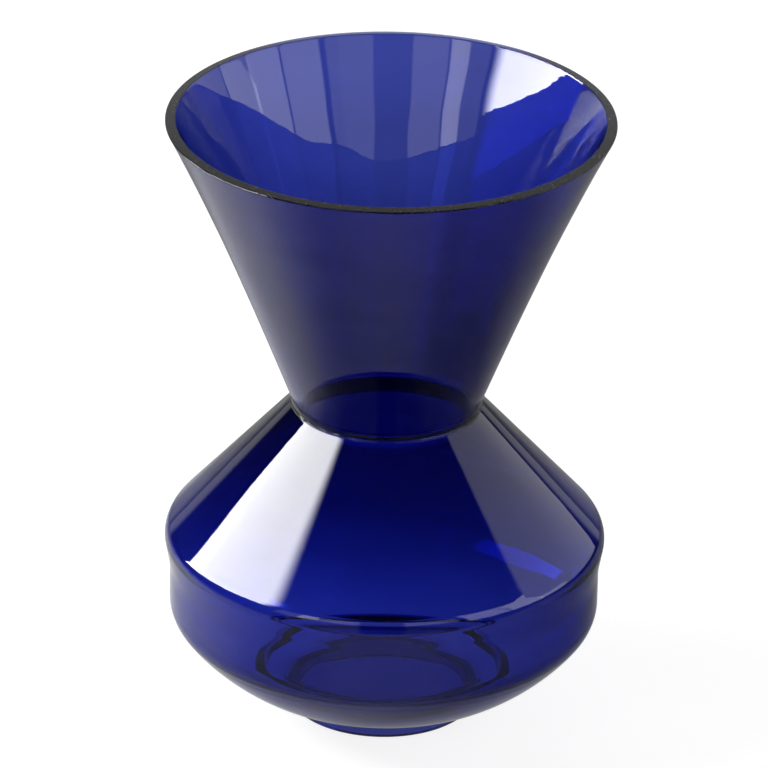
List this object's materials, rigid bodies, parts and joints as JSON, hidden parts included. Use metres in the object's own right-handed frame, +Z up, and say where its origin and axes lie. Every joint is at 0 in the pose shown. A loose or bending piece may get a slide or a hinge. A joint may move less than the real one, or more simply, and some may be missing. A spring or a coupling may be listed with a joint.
{
  "type": "glass vase",
  "caption": "Dark blue blown glass vase: wide conical funnel on a thick neck, over a sharp-shouldered round belly with a bowl base and a low foot ring, for holding cut flowers in water.",
  "frame": {"origin": "on the axis of the vase, in the plane that its foot stands on", "axes": "+Z up along the axis of revolution, towards the rim; X and Y are any two level directions"},
  "size_m": [0.209, 0.209, 0.2999],
  "materials": {
    "funnel_glass": "polished clear cobalt blue glass with a ground satin rim",
    "vessel_glass": "polished clear cobalt blue glass",
    "foot_glass": "polished clear cobalt blue glass"
  },
  "bodies": {
    "root": {"funnel": "funnel_glass", "vessel": "vessel_glass", "foot": "foot_glass"}
  },
  "joints": []
}
